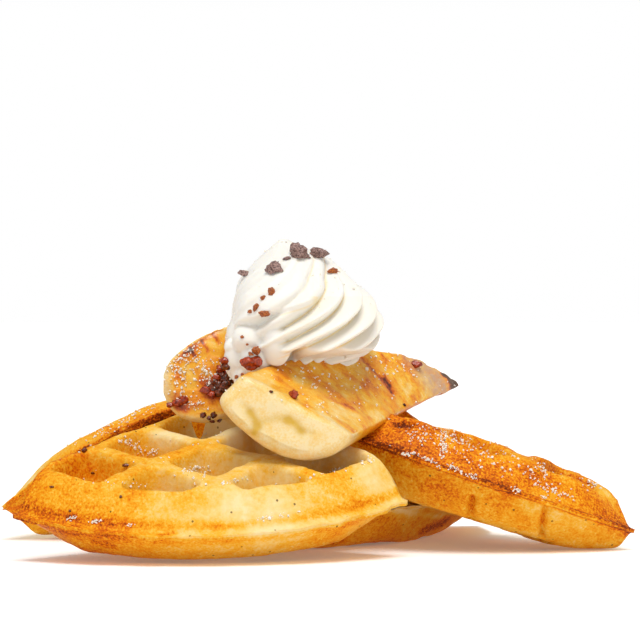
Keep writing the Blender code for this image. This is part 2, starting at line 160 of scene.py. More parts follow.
# Blobs pressed out at the swirl's lower left: (centre, radii)
CREAM_LOBES = [
    ((-22.0, 30.0, 70.0), (8.0, 9.0, 9.0)),
    ((-24.4, 27.0, 63.5), (6.6, 6.0, 7.6)),
    ((-24.9, 25.2, 58.2), (3.2, 3.8, 5.4)),
    ((-14.0, 19.0, 69.0), (4.6, 4.2, 7.4)),
    ((-22.4, 22.2, 70.2), (5.8, 5.6, 5.2)),
    ((-27.8, 26.0, 67.4), (3.2, 3.4, 3.2)),
    ((-20.6, 21.6, 64.4), (5.0, 4.6, 5.6)),
]
# The folds round the swirl: their number, their turn in radians up to the peak, their depth as a share of the
# radius, and the heights where they begin and fade
CREAM_FOLDS = 13
CREAM_TURN = 3.4
CREAM_TURN_POWER = 0.6
CREAM_FOLD_DEPTH = 0.21
FOLDS_FROM = 57.0
FOLDS_FADE = 92.0
# The upper coil: its ledge's height, the angles in degrees that it spans, its climb per degree, and its swell
COIL_FOOT = 73.0
COIL_FROM = 204.0
COIL_TO = 292.0
COIL_CLIMB = 0.125
COIL_SWELL = 0.11
# How much the swirl narrows at its left, and at what height
CREAM_SLIM = 0.07
SLIM_AT = 78.0
# How far the foot draws in under its edge, and how far the folds' ends hang down there
FOOT_IN = 0.55
FOOT_TOP = 67.4
SCALLOP = 2.4
SCALLOP_FROM = 65.0
CREAM_VOXEL = 0.42

# Where the layout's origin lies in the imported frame
SHIFT = np.array((
    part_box("banana_back")[0].x / MM - BANANA_BACK[0][0],
    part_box("banana_front")[0].y / MM - BANANA_FRONT[0][0],
    0.0,
))


# The picture's pixels

def picture_ray(px, py):
    """Where the camera is and which way it sees a pixel, in the layout."""
    middle = IMAGE_SIZE / 2
    way = -CAMERA_BACK * FOCAL_PIXELS + np.array((px - middle, 0.0, 0.0)) - CAMERA_UP * (py - middle)
    return np.array(CAMERA_TARGET) + CAMERA_BACK * CAMERA_DISTANCE, way / np.linalg.norm(way)


def seen_at(tree, px, py):
    """The point and normal of a surface that shows at a pixel, or None."""
    start, way = picture_ray(px, py)
    point, normal, _, _ = tree.ray_cast(Vector(start), Vector(way))
    return None if point is None else (np.array(point), np.array(normal))


def along_line(line, step=1.5):
    """Pixels at even steps along a line of pixels."""
    line = np.array(line, float)
    pixels = []
    for a, b in zip(line[:-1], line[1:]):
        count = max(int(np.linalg.norm(b - a) / step), 1)
        pixels += [a + (b - a) * k / count for k in range(count)]
    return pixels + [line[-1]]


def marks(points, faces, strokes):
    """How strongly each point lies under the strokes, and how far they press it in.

    A stroke is (line of pixels, half width in mm, depth in mm, strength).
    """
    tint = np.zeros(len(points))
    push = np.zeros((len(points), 3))
    if not strokes:
        return tint, push
    tree = BVHTree.FromPolygons(points.tolist(), [list(map(int, f)) for f in faces])
    for line, width, depth, strength in strokes:
        found = [hit for hit in (seen_at(tree, px, py) for px, py in along_line(line)) if hit]
        if not found:
            continue
        at, normals = np.array([f[0] for f in found]), np.array([f[1] for f in found])
        gaps = np.linalg.norm(points[:, None] - at[None], axis=2)
        nearest = gaps.argmin(axis=1)
        weight = bell(gaps.min(axis=1), width)
        tint += strength * weight
        push -= normals[nearest] * (depth * weight)[:, None]
    return tint, push


# Numbers and noise

def smooth_step(value):
    value = np.clip(value, 0.0, 1.0)
    return value * value * (3.0 - 2.0 * value)


def soft_min(first, second, width):
    share = np.clip(0.5 + 0.5 * (second - first) / width, 0.0, 1.0)
    return second * (1.0 - share) + first * share - width * share * (1.0 - share)


def bell(value, width):
    return np.exp(-(value / width) ** 2)


def lattice(cell, seed):
    """A fixed pseudo-random number in -1..1 for each whole-numbered cell."""
    mixed = cell[..., 0] * 73856093 ^ cell[..., 1] * 19349663 ^ cell[..., 2] * 83492791 ^ seed * 2654435761
    mixed = (mixed ^ (mixed >> 13)) * 1274126177 & 0x7FFFFFFF
    mixed = (mixed ^ (mixed >> 15)) * 374761393 & 0x7FFFFFFF
    return (mixed ^ (mixed >> 11)) / float(0x3FFFFFFF) - 1.0


def noise(points, size, seed):
    """Smooth noise in -1..1 with lumps of a given size."""
    cell = np.asarray(points, float) / size
    base = np.floor(cell).astype(np.int64)
    part = cell - base
    part = part * part * part * (part * (part * 6.0 - 15.0) + 10.0)
    total = 0.0
    for corner in np.ndindex(2, 2, 2):
        weight = np.prod(np.where(corner, part, 1.0 - part), axis=-1)
        total = total + weight * lattice(base + np.array(corner), seed)
    return total





def refine(rows, times):
    """Adds stations halfway between the rows, along a smooth curve through them."""
    rows = np.array(rows, float)
    for _ in range(times):
        before = np.vstack([rows[:1], rows[:-2]])
        after = np.vstack([rows[2:], rows[-1:]])
        middle = (9.0 * (rows[:-1] + rows[1:]) - before - after) / 16.0
        fine = np.empty((2 * len(rows) - 1, rows.shape[1]))
        fine[0::2] = rows
        fine[1::2] = middle
        rows = fine
    return rows


# Meshes

def new_object(name, data):
    obj = bpy.data.objects.new(name, data)
    bpy.context.scene.collection.objects.link(obj)
    return obj


def set_attribute(mesh, name, values):
    layer = mesh.attributes.new(name, "FLOAT", "POINT")
    layer.data.foreach_set("value", np.asarray(values, np.float32).ravel())


def make_object(name, points, faces, material, attributes=None, smooth=True):
    """A mesh object from points in layout millimetres, with any per-point attributes."""
    mesh = bpy.data.meshes.new(name)
    mesh.from_pydata(((np.asarray(points) + SHIFT) * MM).tolist(), [], [list(map(int, f)) for f in faces])
    for key, values in (attributes or {}).items():
        set_attribute(mesh, key, values)
    mesh.polygons.foreach_set("use_smooth", [smooth] * len(mesh.polygons))
    mesh.materials.append(material)
    return new_object(name, mesh)


def dress(obj, slot, *nodes):
    """Puts a piece on the one body, for the CAD nodes that it stands for."""
    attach(obj, "root")
    if nodes:
        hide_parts(*nodes)
    return obj


def sheet_faces(ids, flip=False):
    """Quads over a grid of point numbers."""
    faces = np.stack([ids[:-1, :-1], ids[1:, :-1], ids[1:, 1:], ids[:-1, 1:]], axis=-1).reshape(-1, 4)
    return faces[:, ::-1] if flip else faces


def merge(parts):
    """One list of points and faces from several."""
    points, faces, count = [], [], 0
    for part_points, part_faces in parts:
        points.append(np.asarray(part_points, float))
        faces += [[int(i) + count for i in face] for face in part_faces]
        count += len(part_points)
    return np.vstack(points), faces


def closed_loft(rings):
    """Points and faces of a skin over closed rings, each end closed by a fan."""
    rings = np.asarray(rings, float)
    rows, count = rings.shape[:2]
    ids = np.arange(rows * count).reshape(rows, count)
    wrapped = np.hstack([ids, ids[:, :1]])
    faces = sheet_faces(wrapped).tolist()
    points = np.vstack([rings.reshape(-1, 3), rings[0].mean(axis=0), rings[-1].mean(axis=0)])
    first, last = rows * count, rows * count + 1
    faces += [[wrapped[0, k], wrapped[0, k + 1], first] for k in range(count)]
    faces += [[wrapped[-1, k + 1], wrapped[-1, k], last] for k in range(count)]
    return outward(points, faces)


def outward(points, faces):
    """Turns a closed skin's faces outward."""
    volume = 0.0
    for face in faces:
        a = points[face[0]]
        for k in range(1, len(face) - 1):
            volume += np.dot(a, np.cross(points[face[k]], points[face[k + 1]]))
    if volume < 0.0:
        faces = [list(face)[::-1] for face in faces]
    return points, faces


def ico_ball(level):
    work = bmesh.new()
    bmesh.ops.create_icosphere(work, subdivisions=level, radius=1.0)
    points = np.array([v.co[:] for v in work.verts])
    faces = [[v.index for v in f.verts] for f in work.faces]
    work.free()
    return points, faces


# Shader nodes

def shader_of(material):
    return material.node_tree.nodes["Principled BSDF"]


def set_shader(material, **values):
    for key, value in values.items():
        shader_of(material).inputs[key.replace("_", " ")].default_value = value


def new_material(name, roughness, specular, subsurface=0.0, scatter=(1.0, 0.6, 0.3), scatter_mm=1.0):
    material = bpy.data.materials.new(name)
    material.use_nodes = True
    set_shader(material, Roughness=roughness, Specular_IOR_Level=specular, Subsurface_Weight=subsurface,
               Subsurface_Radius=scatter, Subsurface_Scale=scatter_mm * MM)
    return material


def add_node(material, kind, **values):
    node = material.node_tree.nodes.new(kind)
    for key, value in values.items():
        if hasattr(node, key):
            setattr(node, key, value)
        else:
            node.inputs[key.replace("_", " ")].default_value = value
    return node


def join(material, source, target):
    material.node_tree.links.new(source, target)


def attribute(material, name):
    return add_node(material, "ShaderNodeAttribute", attribute_name=name).outputs["Fac"]


def place(material):
    return add_node(material, "ShaderNodeTexCoord").outputs["Object"]


def noise_node(material, size_mm, detail=3.0, roughness=0.55, distortion=0.0):
    node = add_node(material, "ShaderNodeTexNoise", Scale=1.0 / (size_mm * MM), Detail=detail,
                    Roughness=roughness, Distortion=distortion)
    join(material, place(material), node.inputs["Vector"])
    return node.outputs["Fac"]


def feed(material, value, socket):
    """Sets a socket to a number or a colour, or links a node's output to it."""
    if isinstance(value, float):
        socket.default_value = value
    elif isinstance(value, tuple):
        socket.default_value = (*value, 1.0)
    else:
        join(material, value, socket)


def math_node(material, operation, first, second, clamp=False):
    node = add_node(material, "ShaderNodeMath", operation=operation, use_clamp=clamp)
    feed(material, first, node.inputs[0])
    feed(material, second, node.inputs[1])
    return node.outputs[0]


def varied(material, shade, layers):
    """A shade that wavers with each (noise, strength)."""
    for source, strength in layers:
        waver = math_node(material, "SUBTRACT", source, 0.5)
        shade = math_node(material, "ADD", shade, math_node(material, "MULTIPLY", waver, strength))
    return shade


def ramp(material, source, stops):
    """A colour ramp over (position, (red, green, blue)) stops in linear light."""
    node = add_node(material, "ShaderNodeValToRGB")
    elements = node.color_ramp.elements
    while len(elements) < len(stops):
        elements.new(0.5)
    for element, (position, colour) in zip(elements, stops):
        element.position = position
        element.color = (*colour, 1.0)
    join(material, source, node.inputs["Fac"])
    return node.outputs["Color"]


def mix(material, share, first, second):
    node = add_node(material, "ShaderNodeMix", data_type="RGBA")
    for socket, value in ((0, share), (6, first), (7, second)):
        feed(material, value, node.inputs[socket])
    return node.outputs[2]


def bump(material, layers):
    """Chains bumps of (height, strength, depth in mm) into the shader's normal."""
    previous = None
    for height, strength, depth in layers:
        node = add_node(material, "ShaderNodeBump", Strength=strength, Distance=depth * MM)
        join(material, height, node.inputs["Height"])
        if previous:
            join(material, previous, node.inputs["Normal"])
        previous = node.outputs["Normal"]
    join(material, previous, shader_of(material).inputs["Normal"])


def finish_colour(material, colour):
    join(material, colour, shader_of(material).inputs["Base Color"])


def srgb(red, green, blue):
    """Linear colour of 0-255 screen values."""
    values = []
    for channel in (red, green, blue):
        share = channel / 255.0
        values.append(share / 12.92 if share <= 0.04045 else ((share + 0.055) / 1.055) ** 2.4)
    return tuple(values)


def baked(red, green, blue):
    """Linear colour of a surface that shows as these 0-255 screen values in the studio's light."""
    return tuple(EXPOSED * value for value in srgb(red, green, blue))


def waffle_material():
    """Baked batter, from pale to browned by the attribute brown_and_shade, which also carries the strokes'
    painted shade and painted light, with open crumb where crumb is 1.
    """
    material = new_material("baked_waffle", 0.6, 0.1, 0.1, (1.0, 0.45, 0.12), 1.0)
    fine = noise_node(material, 0.8, 4.0, 0.65)
    small = noise_node(material, 2.2, 3.0)
    patchy = noise_node(material, 8.0, 3.0, 0.6, 0.6)
    shade = attribute(material, "brown_and_shade")
    grain = math_node(material, "SUBTRACT", math_node(material, "MULTIPLY", shade, 2.4), 0.2)
    shade = varied(material, shade, [(fine, grain), (small, 0.40), (patchy, 0.46)])
    crust = ramp(material, shade, [
        (0.0, baked(255, 230, 168)),
        (0.18, baked(254, 214, 126)),
        (0.36, baked(252, 190, 54)),
        (0.54, baked(247, 158, 8)),
        (0.74, baked(224, 104, 2)),
        (1.0, baked(118, 46, 6)),
    ])
    inside = ramp(material, fine, [(0.3, baked(242, 192, 96)), (0.62, baked(255, 230, 162))])
    colour = mix(material, attribute(material, "crumb"), crust, inside)
    specks = add_node(material, "ShaderNodeTexVoronoi", Scale=1.0 / (5.2 * MM))
    join(material, place(material), specks.inputs["Vector"])
    dark = math_node(material, "LESS_THAN", specks.outputs["Distance"], 0.075)
    dark = math_node(material, "MULTIPLY", dark, 0.75)
    finish_colour(material, mix(material, dark, colour, baked(74, 42, 20)))
    bump(material, [(small, 0.45, 0.5), (fine, 0.5, 0.22)])
    return material


def banana_material():
    """Flesh from pale to caramelised by the attribute toast, with olive seed marks and a wet glaze."""
    material = new_material("banana_flesh", 0.34, 0.36, 0.12, (1.0, 0.55, 0.2), 1.6)
    patchy = noise_node(material, 3.6, 4.0)
    fine = noise_node(material, 0.7, 3.0, 0.65)
    shade = varied(material, attribute(material, "toast"), [(patchy, 0.46), (fine, 0.50)])
    flesh = ramp(material, shade, [
        (0.0, baked(255, 232, 176)),
        (0.16, baked(254, 216, 132)),
        (0.34, baked(254, 192, 48)),
        (0.54, baked(244, 148, 2)),
        (0.72, baked(206, 88, 4)),
        (0.86, baked(112, 48, 22)),
        (1.0, baked(56, 30, 24)),
    ])
    tinted = mix(material, attribute(material, "seed"), flesh, baked(222, 172, 0))
    finish_colour(material, mix(material, attribute(material, "skin"), tinted, baked(214, 178, 142)))
    set_shader(material, Coat_Weight=0.25, Coat_Roughness=0.14)
    bump(material, [(patchy, 0.4, 0.5), (fine, 0.6, 0.25)])
    return material


def cream_material():
    material = new_material("whipped_cream", 0.42, 0.3, 0.35, (1.0, 0.85, 0.6), 1.6)
    # Painted shade: a warm yellow tint in the grooves between folds and along the coil's ledge
    tint = math_node(material, "MULTIPLY", attribute(material, "painted_groove_shade"), 0.95, True)
    finish_colour(material, mix(material, tint, srgb(233, 230, 222), srgb(236, 206, 128)))
    bump(material, [(noise_node(material, 2.6, 3.0), 0.16, 0.4)])
    return material


def bit_material(name, dark, light, roughness, size):
    """A speckled surface from dark to light, with specks of a given size."""
    material = new_material(name, roughness, 0.5)
    colour = ramp(material, noise_node(material, size, 4.0), [(0.35, dark), (0.68, light)])
    finish_colour(material, colour)
    bump(material, [(noise_node(material, size * 0.6, 3.0), 0.5, 0.25)])
    return material


# Waffle wedges

def pose_matrix(pose):
    at, angles = pose
    tilt, roll, yaw = (radians(a) for a in angles)
    turn = Matrix.Rotation(tilt, 4, "X") @ Matrix.Rotation(roll, 4, "Y") @ Matrix.Rotation(yaw, 4, "Z")
    return np.array(Matrix.Translation(Vector(at)) @ turn)


def press_on_table(z):
    """Squeezes what would sink into the table into the last few millimetres above it."""
    soft = TABLE_SOFT * np.exp((np.minimum(z, TABLE_SOFT) - TABLE_SOFT) / TABLE_SOFT)
    return np.maximum(np.where(z >= TABLE_SOFT, z, soft), TABLE_FILM)


def posed_plain(points, pose):
    matrix = pose_matrix(pose)
    return points @ matrix[:3, :3].T + matrix[:3, 3]


def posed(points, pose, bow=None):
    """Points of a wedge in its place, bowed by an arch and pressed on the table."""
    placed = posed_plain(points, pose)
    if bow:
        placed[..., 2] += arch(placed[..., 0], *bow)
    placed[..., 2] = press_on_table(placed[..., 2])
    return placed


def arch(x, x0, x1, rise):
    share = np.clip((x - x0) / (x1 - x0), 0.0, 1.0)
    return rise * 4.0 * share * (1.0 - share)


def plane_height(pose, x, y, offset):
    """Height at (x, y) of a wedge's plane, offset along its own normal."""
    matrix = pose_matrix(pose)
    normal = matrix[:3, 2]
    at = matrix[:3, 3] + normal * offset
    return at[2] - ((x - at[0]) * normal[0] + (y - at[1]) * normal[1]) / normal[2]


def squashed_under(points):
    """Places the bottom wedge, pressed thin wherever another wedge lies on it."""
    flat = points.copy()
    flat[..., 2] = 0.0
    placed = posed_plain(flat, UNDER)
    reach = np.hypot(points[..., 0], points[..., 1])
    edge = smooth_step((reach - RADIUS + 3.0) / 1.5) * (placed[..., 1] > UNDER_SPREAD_FROM)
    stretch = 1.0 + UNDER_SPREAD * edge * np.clip((placed[..., 1] - UNDER_SPREAD_FROM) / 20.0, 0.0, 1.0)
    flat[..., :2] *= stretch[..., None]
    placed = posed_plain(flat, UNDER)
    x, y = placed[..., 0], placed[..., 1]
    roof = np.full(x.shape, 2.0 * HALF)
    for pose, thickness, reach, bow in (
        (FRONT_LEFT, HALF, 1.0, None),
        (RIGHT, RIGHT_LOW, 0.8, RIGHT_ARCH),
        (BACK_LEFT, BACK_LOW, 1.0, BACK_ARCH),
    ):
        lift = np.maximum(arch(x, *bow), 0.0) if bow else 0.0
        roof = np.minimum(roof, underside(pose, thickness, reach, x, y) + lift - UNDER_GAP)
    roof = np.maximum(roof, UNDER_THINNEST)
    seam = np.minimum(UNDER_SEAM, UNDER_SEAM_SHARE * roof)
    z = points[..., 2]
    placed[..., 2] = np.where(z >= 0.0, seam + (roof - seam) * z / HALF, seam * (1.0 + z / HALF))
    placed[..., 2] = np.maximum(placed[..., 2], TABLE_FILM)
    return placed


def underside(pose, thickness, reach, x, y):
    """Height of the underside of a wedge at (x, y), which rises toward its rim."""
    matrix = pose_matrix(pose)
    middle = np.stack([x, y, plane_height(pose, x, y, 0.0)], axis=-1) - matrix[:3, 3]
    local = middle @ matrix[:3, :3]
    gap = RADIUS - np.hypot(local[..., 0], local[..., 1])
    offset = -rim_height(np.maximum(gap, 0.0) / reach, RIM_LOW, thickness)
    return plane_height(pose, x, y, 0.0) + offset / matrix[2, 2] + 1.5 * np.maximum(-gap, 0.0)


def rim_height(distance, table, half):
    """Height of the rim at a distance in from the edge, with the profile's corners rounded."""
    at, share = np.array(table).T
    return half * np.mean([np.interp(distance + s, at, share) for s in (-1.0, -0.5, 0.0, 0.5, 1.0)], axis=0)


def pocket_share(x, y, r, limit, seed):
    """1 on a pocket's floor and 0 on the ribs and the rim, with ribs that waver a little."""
    at = np.stack([x, y, np.zeros_like(x)], axis=-1)
    x = x + 0.9 * noise(at, 17.0, seed) + 0.35 * noise(at, 5.0, seed + 15)
    y = y + 0.9 * noise(at, 17.0, seed + 1) + 0.35 * noise(at, 5.0, seed + 16)
    r = r + 0.8 * noise(at, 11.0, seed + 2)
    rib_x = np.abs(x - PITCH * np.round(x / PITCH))
    rib_y = np.abs(y - PITCH * np.round(y / PITCH))
    start, slope = RIB_HALF - 0.9, POCKET_DRAFT + 0.6
    share = smooth_step((rib_x - start) / slope) * smooth_step((rib_y - start) / slope)
    return share * smooth_step((RADIUS - limit + 0.6 - r) / 3.6)


def waffle_side(x, y, r, distance, table, half, limit, seed, bumps):
    """Height of one side of a wedge and its pocket share."""
    at = np.stack([x, y, np.zeros_like(x)], axis=-1)
    share = pocket_share(x, y, r, limit, seed)
    depth = POCKET_DEPTH * half / HALF
    blank = rim_height(distance, table, half)
    height = soft_min(blank, half + 1.0 - (depth + 1.0) * share, 1.2)
    inland = smooth_step((distance - 2.0) / 4.0)
    height = height + inland * (bumps * noise(at, 13.0, seed + 3) + 0.2 * noise(at, 4.2, seed + 4))
    height = height + inland * 0.07 * noise(at, 1.6, seed + 5)
    return np.maximum(height, 0.35), share


def waffle(name, spec, place_points, material):
    """A wedge as a closed grid: browned top and bottom, ragged flash and open crumb on its cut faces."""
    seed = spec["seed"]
    span = radians(spec["span"])
    inner = np.arange(RADIUS - APEX_CUT, RIM_ZONE, -COARSE_STEP)
    outer = np.arange(RIM_ZONE, 0.2, -FINE_STEP)
    distance = np.concatenate([inner, outer, [0.0]])
    count = int(RADIUS * span / ANGLE_STEP)
    angles = np.linspace(0.0, span, count)
    gap, angle = np.meshgrid(distance, angles, indexing="ij")
    r = RADIUS - gap
    x, y = r * np.cos(angle), r * np.sin(angle)
    near_end = np.clip(1.0 - np.degrees(np.minimum(angle, span - angle)) / 14.0, 0.0, 1.0)
    over = 1.0 + spec["pull_top"] * near_end
    below = 1.0 + spec["pull_low"] * near_end
    top, top_share = waffle_side(
        x, y, r, gap / over, RIM_TOP, spec["top"], spec["limit_top"], seed, spec["bumps"])
    low, low_share = waffle_side(
        x, y, r, gap / below, RIM_LOW, spec["low"], spec["limit_low"], seed + 20, LOW_BUMPS)
    low = low * (1.0 + spec["sag"] * bell(np.degrees(angle) - 14.0, 15.0))
    rim_at = np.stack([RADIUS * np.cos(angle), RADIUS * np.sin(angle), gap * 0.6], axis=-1)
    ragged = np.clip(1.0 - gap / 3.4, 0.0, 1.0)
    r = r + ragged * (0.7 * noise(rim_at, 5.0, seed + 6) + 0.45 * noise(rim_at, 1.7, seed + 7) - 0.2)
    r = r + 0.3 * noise(rim_at, 7.0, seed + 8) * (gap < RIM_ZONE)
    wave = ragged * 0.45 * noise(rim_at, 6.0, seed + 9)
    x, y = r * np.cos(angle), r * np.sin(angle)
    upper = np.stack([x, y, top + wave], axis=-1)
    lower = np.stack([x, y, -low + wave], axis=-1)
    return build_wedge(name, spec, upper, lower, top_share, low_share, gap, place_points, material)


def build_wedge(name, spec, upper, lower, top_share, low_share, gap, place_points, material):
    """Joins the two sides of a wedge by its rim and its cut faces, and places it."""
    seed = spec["seed"]
    rows = WALL_ROWS
    n, m = gap.shape
    ids = np.full((n, m, rows + 1), -1)
    skin = np.zeros(ids.shape, bool)
    skin[0] = skin[-1] = True
    skin[:, 0] = skin[:, -1] = True
    skin[:, :, 0] = skin[:, :, -1] = True
    ids[skin] = np.arange(skin.sum())
    level = np.linspace(0.0, 1.0, rows + 1)
    i, j, k = np.nonzero(skin)
    share = level[k][:, None]
    points = lower[i, j] * (1.0 - share) + upper[i, j] * share
    cut = ((j == 0) | (j == m - 1) | (i == 0)) & (k > 0) & (k < rows)
    edge = np.minimum(k, rows - k) / 4.0
    crumb = cut * np.clip(edge, 0.0, 1.0)
    pores = np.clip(noise(points, 2.6, seed + 10) - 0.1, 0.0, 1.0) * 1.3
    pores = pores + np.clip(noise(points, 1.3, seed + 11) - 0.2, 0.0, 1.0) * 0.7
    wander = 0.5 * noise(points, 7.0, seed + 12)
    inward = np.zeros_like(points)
    span = radians(spec["span"])
    inward[j == 0] = (0.0, 1.0, 0.0)
    inward[j == m - 1] = (sin(span), -cos(span), 0.0)
    points = points + inward * (pores * crumb + wander * (j % (m - 1) == 0))[:, None]
    brown_and_shade = wedge_brown(spec, points, gap[i, j], top_share[i, j], low_share[i, j], k == rows, k == 0)
    faces = np.vstack([
        sheet_faces(ids[:, :, rows]),
        sheet_faces(ids[:, :, 0], True),
        sheet_faces(ids[-1]),
        sheet_faces(ids[0], True),
        sheet_faces(ids[:, -1], True),
        sheet_faces(ids[:, 0]),
    ])
    placed = place_points(points)
    # The strokes add cracks and darker or paler spots to the brown, some of them painted shade or painted
    # light
    tint, push = marks(placed, faces, spec["strokes"])
    return make_object(name, placed + push, faces, material,
                       {"brown_and_shade": brown_and_shade + tint, "crumb": crumb * (gap[i, j] > 2.5)})


def wedge_brown(spec, local, gap, top_share, low_share, is_top, is_low):
    """How browned each point is; the bottom wedge's paler flash is painted light."""
    seed = spec["seed"]
    brown_and_shade = np.where(local[:, 2] >= 0.0, spec["brown_top"], spec["brown_low"])
    brown_and_shade = brown_and_shade + 0.12 * noise(local, 24.0, seed + 13) + 0.10 * noise(local, 9.0, seed + 14)
    share = np.where(is_top, top_share, np.where(is_low, low_share, 0.0))
    brown_and_shade = brown_and_shade + spec["brown_pocket"] * share * (1.0 - share) * 4.0
    ends = np.degrees(np.arctan2(local[:, 1], local[:, 0]))
    left = np.clip(1.0 - ends / spec["left_span"], 0.0, 1.0) if spec["left_span"] else np.zeros(len(local))
    brown_and_shade = brown_and_shade + spec["brown_left"] * left
    rough = 0.5 + 0.5 * noise(local, 2.4, seed + 15)
    flash = bell(gap - 1.0, spec["flash_wide"])
    brown_and_shade = brown_and_shade + flash * (spec["flash_left"] * left * (0.7 + 0.6 * rough) + spec["flash_base"])
    root = bell(gap - spec["root_at"], spec["root_wide"])
    return brown_and_shade + root * np.where(local[:, 2] >= 0.0, 1.0, spec["root_low"]) * spec["root_brown"]


# Cracks, creases and darker or paler spots, some of them painted shade or painted light as marked: (line of
# picture pixels, half width, depth in mm, added brown or painted shade)
FRONT_STROKES = [
    ([(85, 452), (88, 461), (90, 472)], 0.8, 0.7, 0.14),
    ([(144, 460), (147, 467), (150, 475)], 0.8, 0.5, 0.10),
    ([(306, 463), (308, 470)], 0.8, 0.5, 0.12),
    ([(160, 535), (174, 533)], 0.9, 0.1, 0.3),
    ([(95, 542), (112, 546)], 1.6, 0.3, 0.22),
    ([(70, 500), (110, 512)], 5.0, 0.0, 0.10),
    ([(190, 492), (192, 500)], 5.0, 0.0, 0.12),
    ([(232, 500), (240, 512)], 5.0, 0.0, -0.08),
    ([(262, 488), (300, 494)], 6.0, 0.0, -0.06),
    # Painted light: paler over a pocket at the top edge that lies in shade
    ([(168, 434), (200, 438), (232, 430)], 6.0, 0.0, -0.35),
]
BACK_STROKES = [
    ([(81, 453), (86, 447)], 1.2, 0.3, 0.3),
    # Painted shade: a darker line where this wedge goes behind the front left wedge
    ([(150, 424), (176, 420)], 2.0, 0.0, 0.2),
    ([(24, 470), (32, 480)], 4.0, 0.0, -0.2),
]
RIGHT_STROKES = [
    ([(471, 521), (470, 511), (472, 499)], 1.1, 2.6, 0.20),
    ([(542, 538), (543, 524), (546, 506)], 1.0, 2.2, 0.22),
    # Pressed in where the banana rests on the crest, and darker there as painted shade under it
    ([(398, 423), (410, 423)], 1.6, 2.2, 0.40),
    ([(545, 466), (546, 474)], 0.9, 0.9, 0.0),
    ([(437, 426), (437, 434)], 1.0, 0.7, -0.1),
    # Painted shade: darker at the left end, under the banana
    ([(366, 440), (392, 448)], 4.0, 0.0, 0.30),
    ([(420, 446), (500, 470), (560, 490)], 4.5, 0.0, 0.05),
    ([(470, 445), (520, 458)], 4.0, 0.0, -0.10),
    ([(594, 487), (606, 494)], 2.6, 0.0, -0.30),
    ([(530, 474), (560, 486), (592, 504)], 4.5, 0.0, 0.12),
    # Painted shade: darker at the left of the lower side, in the banana's shade
    ([(400, 470), (440, 490)], 6.0, 0.0, 0.06),
]
UNDER_STROKES = [
    # Painted light: the flash's lit top is made paler
    ([(396, 511), (440, 517)], 1.5, 0.0, -0.3),
    # Painted shade: darker at the right end, deep in shade under the right wedge
    ([(424, 530), (444, 522)], 3.0, 0.0, 0.4),
    ([(326, 540), (338, 540)], 2.0, 0.0, 0.2),
]
# What most wedges share, and then what each has of its own: its angle, how thick its top and underside are,
# how its ends are pulled out, and how browned its sides, pockets, left end, flash and the flash's root are
WEDGE = dict(
    limit_top=10.5, limit_low=13.0, pull_top=0.0, pull_low=0.0, brown_pocket=0.1, brown_left=0.0,
    left_span=0.0, flash_left=0.0, flash_wide=1.8, root_at=3.6, root_wide=0.9, root_low=0.5, sag=0.0)
WEDGES = {
    "waffle_front_left": dict(
        WEDGE, piece="front_left_wedge", span=90.0, top=FRONT_TOP, low=HALF, pull_low=0.8, seed=100,
        brown_top=0.24, brown_low=0.40, brown_pocket=-0.04, brown_left=0.26, left_span=58.0,
        flash_left=0.34, flash_base=-0.04, root_brown=0.24, bumps=0.45, strokes=FRONT_STROKES),
    "waffle_back_left": dict(
        WEDGE, piece="back_left_wedge", span=54.0, top=BACK_TOP, low=BACK_LOW, pull_top=0.7, seed=200,
        brown_top=0.39, brown_low=0.62, brown_left=-0.1, left_span=20.0, flash_base=0.06, root_wide=0.8,
        root_brown=0.14, bumps=0.5, strokes=BACK_STROKES),
    "waffle_right": dict(
        WEDGE, piece="right_wedge", span=74.0, top=HALF, low=RIGHT_LOW, pull_top=0.5, pull_low=-0.3,
        seed=300, brown_top=0.61, brown_low=0.46, flash_base=0.46, flash_wide=1.1, root_at=3.0,
        root_wide=0.5, root_low=0.1, root_brown=0.06, bumps=1.5, sag=0.12, strokes=RIGHT_STROKES),
    # Painted light: the bottom wedge's flash is made paler, as if lit from above
    "waffle_under": dict(
        WEDGE, piece="under_wedge", span=90.0, top=HALF, low=HALF, limit_top=11.5, limit_low=14.0,
        seed=400, brown_top=0.30, brown_low=0.57, flash_base=-0.30, root_at=4.0, root_wide=1.0,
        root_brown=0.1, bumps=0.3, strokes=UNDER_STROKES),
}
PLACES = {
    "waffle_front_left": lambda points: posed(points, FRONT_LEFT),
    "waffle_back_left": lambda points: posed(points, BACK_LEFT, BACK_ARCH),
    "waffle_right": lambda points: posed(points, RIGHT, RIGHT_ARCH),
    "waffle_under": squashed_under,
}


# Bananas

RING_FLAT = 70
RING_ROUND = 110
RING_SMOOTHING = 14
END_ROUND = 4.2
END_STEPS = 30
# How far back the end face's marks reach, and where the skin and the charred tip begin
SEED_REACH = 9.0
SKIN_FROM = 60.0
TIP_FROM = 74.0


